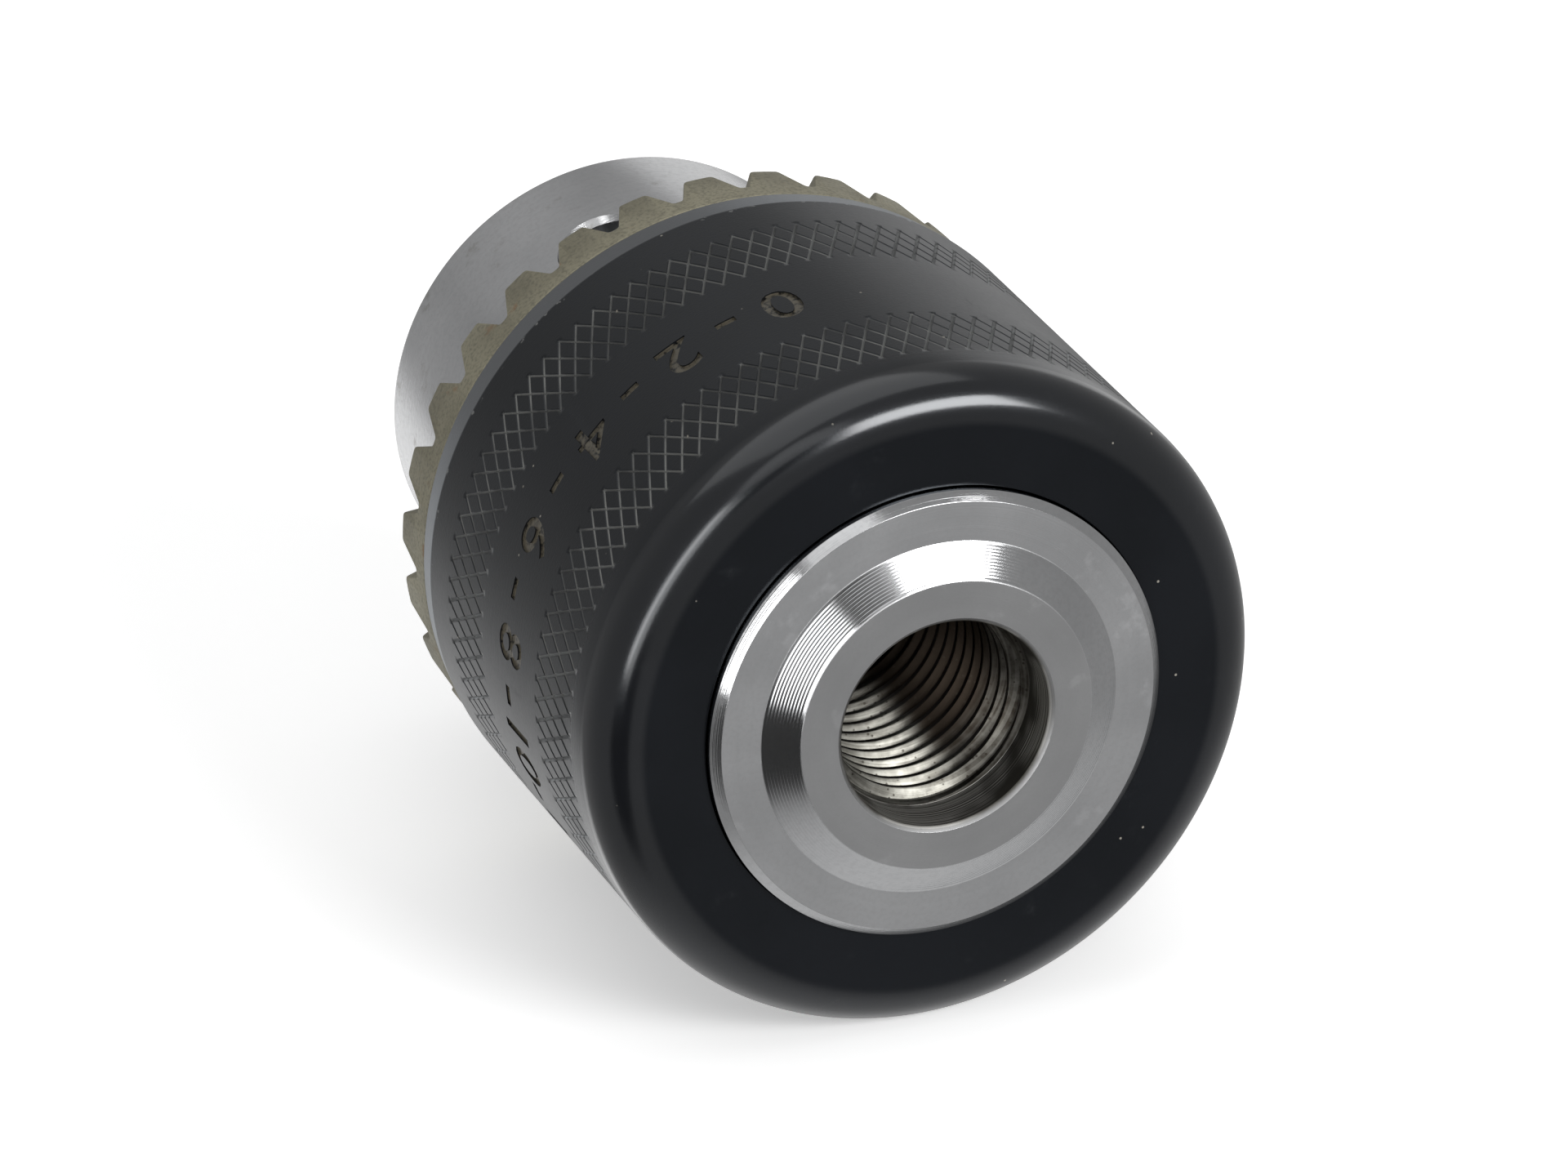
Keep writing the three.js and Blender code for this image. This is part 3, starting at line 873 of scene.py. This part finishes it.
def nut_outline():
    """The nut's section, its grooved bore running from front to rear."""
    bore = []
    for i in reversed(range(NUT_GROOVES)):
        y = NUT_REAR + FIRST_GROOVE + i * TOOTH_RISE
        for offset, depth in NUT_GROOVE:
            if y + offset < NUT_FRONT:
                bore.append((jaw_back(y + offset) + NUT_CLEAR + depth, y + offset))
    return [(jaw_back(NUT_REAR) + NUT_CLEAR, NUT_REAR), (NUT_R - NUT_EDGE, NUT_REAR),
            (NUT_R, NUT_REAR + NUT_EDGE), (NUT_R, NUT_FRONT - NUT_EDGE),
            (NUT_R - NUT_EDGE, NUT_FRONT), (jaw_back(NUT_FRONT) + NUT_CLEAR, NUT_FRONT)] + bore


def block(low, high):
    """Closed box between two corners, in millimetres."""
    corners = [(x, y, z) for x in (low[0], high[0]) for y in (low[1], high[1])
               for z in (low[2], high[2])]
    faces = ((0, 1, 3, 2), (4, 6, 7, 5), (0, 4, 5, 1), (2, 3, 7, 6), (0, 2, 6, 4), (1, 5, 7, 3))
    return mesh_of("block", [Vector(c) * MM for c in corners], faces)


def machined_steel(name, tone, roughness, marks):
    """Plain machined steel with fine lines round the axis and a film of oil."""
    steel = Shader(name, 1.0, roughness)
    cloud = steel.noise(4, detail=4)
    fine = steel.noise(0.3, detail=2)
    low, high = ((tone * k, tone * k * 0.99, tone * k * 0.96) for k in (0.75, 1.1))
    film = steel.mix(cloud.ramp(0.3, 0.7), low, high)
    steel.set("Base Color", steel.mix(0.2 * fine, film, (0.12, 0.1, 0.07)))
    steel.set("Roughness", roughness + 0.12 * (cloud - 0.5) + 0.08 * (fine - 0.5))
    steel.set("Normal", steel.bump(steel.lines(steel.radius + steel.y, 0.08), marks))
    return steel.material


nut_finish = machined_steel("nut_steel", 0.34, 0.34, 0.008)
for name, low, high in (("a", NUT_SPLIT, BODY_R * 2), ("b", -BODY_R * 2, -NUT_SPLIT)):
    side = block((-BODY_R * 2, SHOULDER_Y, low), (BODY_R * 2, NOSE_Y, high))
    half = combine(turned("nut_ring", nut_outline(), NUT_FACETS), [side], "INTERSECT")
    nut = new_piece("nut_threaded_" + name, half, nut_finish)
    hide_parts("nut_half_" + name)
    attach(nut, "sleeve")

# ---- Thrust bearing ----
# Two hardened races, a pressed brass cage and its balls run between the nut and the
# body's shoulder, so that the sleeve still turns freely as the jaws bite.
BALLS, BALL_R, BALL_PITCH_R, BALL_Y = 16, 1.0, 17.1, 25.35
BALL_FIT, BALL_SEGMENTS, BALL_RINGS = 0.03, 24, 14
RACE_IN, RACE_OUT, RACE_FACE, RACE_GAP = 1.0, 1.3, 0.88, 0.05
GROOVE_STEPS, RACE_FACETS = 8, 144
CAGE_IN, CAGE_OUT, CAGE_HALF, POCKET_GAP, POCKET_FACETS = 1.35, 1.4, 0.35, 0.1, 32


def race_outline(back, face, facing):
    """Race washer with a shallow groove for the balls on the face that points that way."""
    inner, outer = BALL_PITCH_R - RACE_IN, BALL_PITCH_R + RACE_OUT
    reach = BALL_R + BALL_FIT
    half = math.acos(abs(face - BALL_Y) / reach)
    groove = []
    for i in range(GROOVE_STEPS + 1):
        turn = -half + 2 * half * i / GROOVE_STEPS
        groove.append((BALL_PITCH_R + reach * math.sin(turn),
                       BALL_Y - facing * reach * math.cos(turn)))
    return [(inner, back), (inner, face)] + groove + [(outer, face), (outer, back)]


bright = machined_steel("bearing_steel", 0.7, 0.14, 0.003)
for name, back, face, facing, carrier in (
    ("body", SHOULDER_Y + RACE_GAP, BALL_Y - RACE_FACE, 1, "body"),
    ("nut", NUT_REAR - RACE_GAP, BALL_Y + RACE_FACE, -1, "sleeve"),
):
    washer_mesh = turned("race", race_outline(back, face, facing), RACE_FACETS)
    washer = new_piece("race_" + name, washer_mesh, bright)
    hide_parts(name + "_race")
    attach(washer, carrier)


def cage_wedge():
    """One ball pocket of the cage: a square of sheet round a circular hole."""
    inner, outer = BALL_PITCH_R - CAGE_IN, BALL_PITCH_R + CAGE_OUT
    hole_r, count, vertices = BALL_R + POCKET_GAP, POCKET_FACETS, []
    for y in (BALL_Y - CAGE_HALF, BALL_Y + CAGE_HALF):
        for on_hole in (True, False):
            for i in range(count):
                turn = 2 * math.pi * (i + 0.5) / count
                side, out = math.sin(turn), math.cos(turn)
                if on_hole:
                    radius = BALL_PITCH_R + hole_r * out
                    angle = hole_r * side / BALL_PITCH_R
                else:
                    grow = 1 / max(abs(side), abs(out))
                    radius = (inner + outer) / 2 + (outer - inner) / 2 * out * grow
                    angle = math.pi / BALLS * side * grow
                vertices.append((radius * math.cos(angle) * MM, y * MM,
                                 radius * math.sin(angle) * MM))
    faces = []
    for i in range(count):
        after = (i + 1) % count
        for low, high in ((0, 1), (3, 2), (2, 0)):
            faces.append((low * count + i, low * count + after, high * count + after,
                          high * count + i))
        joins_next = count / 8 - 1 < after % (count / 2) <= 3 * count / 8 - 1
        if not joins_next:
            faces.append((count + i, 3 * count + i, 3 * count + after, count + after))
    mesh = bpy.data.meshes.new("cage_wedge")
    mesh.from_pydata(vertices, [], faces)
    return mesh


def pressed_brass():
    """Pressed brass sheet, unevenly tarnished."""
    brass = Shader("cage_brass", 1.0, 0.3)
    cloud = brass.noise(3, detail=4)
    tone = brass.mix(cloud.ramp(0.3, 0.7), (0.42, 0.29, 0.11), (0.66, 0.48, 0.2))
    brass.set("Base Color", tone)
    brass.set("Roughness", 0.3 + 0.2 * (cloud - 0.5))
    brass.set("Normal", brass.bump(brass.noise(0.3), 0.01))
    return brass.material


brass = pressed_brass()
cage = new_piece("cage_pressed", repeated(cage_wedge(), BALLS, brass), brass)
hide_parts("ball_cage")
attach(cage, "cage")
for i in range(BALLS):
    bm = bmesh.new()
    bmesh.ops.create_uvsphere(bm, u_segments=BALL_SEGMENTS, v_segments=BALL_RINGS,
                              radius=BALL_R * MM)
    centre = outward(i * 360 / BALLS) * BALL_PITCH_R + Vector((0, BALL_Y, 0))
    bmesh.ops.translate(bm, verts=bm.verts, vec=centre * MM)
    ball_mesh = bpy.data.meshes.new("ball")
    bm.to_mesh(ball_mesh)
    bm.free()
    ball = new_piece(f"bearing_ball_{i + 1:02d}", ball_mesh, bright)
    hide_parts(f"ball_{i + 1:02d}")
    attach(ball, "cage")

# ---- Jaws ----
# Three hardened round bars that slide in the slanted bores. Each is ground to a 120
# degree wedge that grips along its edge, and its back is grooved at the nut's pitch.
GRIP_R, GRIP_LAND, WEDGE_HALF = 6.5, 0.5, math.radians(60)
JAW_CLIP_R, JAW_TRAVEL_R = 18.1, 5.75
TIP_FLAT_R, TIP_SLOPE, TIP_FROM = 2.3, 0.62, 30
TOOL_R, TOOL_REAR, TOOL_FRONT, TOOL_FACETS = 24, -10, 60, 96
JAW_GROOVE, CREST_GAP, THREADED_TO = ((0, 0), (0.3, 0.9), (0.8, 0.9), (1.2, 0)), 0.06, 30
TAP_R, TAP_START = 30, JAW_TAIL_Y - 4


def wedge_block(degrees):
    """Prism of the 120 degree sector, its land a little further out than GRIP_R."""
    slope, half_land = math.tan(WEDGE_HALF), GRIP_LAND / 2
    land, far = GRIP_R + half_land / slope, GRIP_R + TOOL_R
    spread = (far - land) * slope + half_land
    plan = ((land, -half_land), (far, -spread), (far, spread), (land, half_land))
    out, along = outward(degrees), outward(degrees + 90)
    vertices = [(out * r + along * side + Vector((0, y, 0))) * MM
                for y in (TOOL_REAR, JAW_TIP_Y) for r, side in plan]
    faces = [(0, 1, 2, 3), (4, 5, 6, 7)] + [(i, (i + 1) % 4, (i + 1) % 4 + 4, i + 4)
                                            for i in range(4)]
    return mesh_of("wedge", vertices, faces)


def tip_cone(degrees):
    """Solid that tapers the tip, centred where the chuck axis is with the jaws closed."""
    taper = TIP_FLAT_R + TIP_SLOPE * (JAW_TIP_Y - TIP_FROM)
    outline = [(0, TOOL_REAR), (TOOL_R, TOOL_REAR), (TOOL_R, TIP_FROM), (taper, TIP_FROM),
               (TIP_FLAT_R, JAW_TIP_Y), (0, JAW_TIP_Y)]
    cone = turned("tip_cone", outline, TOOL_FACETS)
    cone.transform(Matrix.Translation(outward(degrees) * JAW_TRAVEL_R * MM))
    return cone


def thread_tap(shift):
    """Ring whose toothed bore cuts the thread on a jaw's back."""
    bore = []
    y = TAP_START + shift * TOOTH_RISE
    while y < THREADED_TO:
        for offset, depth in JAW_GROOVE:
            bore.append((jaw_back(y + offset) + CREST_GAP - depth, y + offset))
        y += TOOTH_RISE
    return turned("tap", [(TAP_R, bore[0][1]), *bore, (TAP_R, bore[-1][1])])


def jaw_steel():
    """Ground hardened steel with lines along the bar and dark scale in the thread."""
    steel = Shader("jaw_steel", 1.0, 0.3)
    cloud = steel.noise(5, detail=4)
    fine = steel.noise(0.35, detail=2)
    scale = steel.y.ramp(33, 28) * cloud.ramp(0.2, 0.6)
    tone = steel.mix(cloud, (0.34, 0.34, 0.33), (0.46, 0.46, 0.45))
    steel.set("Base Color", steel.mix(0.6 * scale, tone, (0.1, 0.095, 0.09)))
    steel.set("Roughness", 0.3 + 0.15 * (cloud - 0.5) + 0.1 * (fine - 0.5) + 0.1 * scale)
    steel.set("Normal", steel.bump(steel.noise(0.12, stretch=(1, 0.06, 1)), 0.008))
    return steel.material


jaw_finish = jaw_steel()
for i, angle in enumerate(JAW_ANGLES):
    bar = rod(jaw_axis(angle, JAW_TAIL_Y), jaw_axis(angle, JAW_TIP_Y + PAST_END), JAW_R)
    clip = turned("clip", [(0, TOOL_REAR), (JAW_CLIP_R, TOOL_REAR), (JAW_CLIP_R, TOOL_FRONT),
                           (0, TOOL_FRONT)], TOOL_FACETS)
    shaped = combine(bar, [wedge_block(angle), tip_cone(angle), clip], "INTERSECT")
    shaped = combine(shaped, [thread_tap(i / 3)])
    jaw = new_piece(f"jaw_ground_{i + 1}", shaped, jaw_finish)
    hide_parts(f"jaw_{i + 1}")
    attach(jaw, f"jaw_{i + 1}")
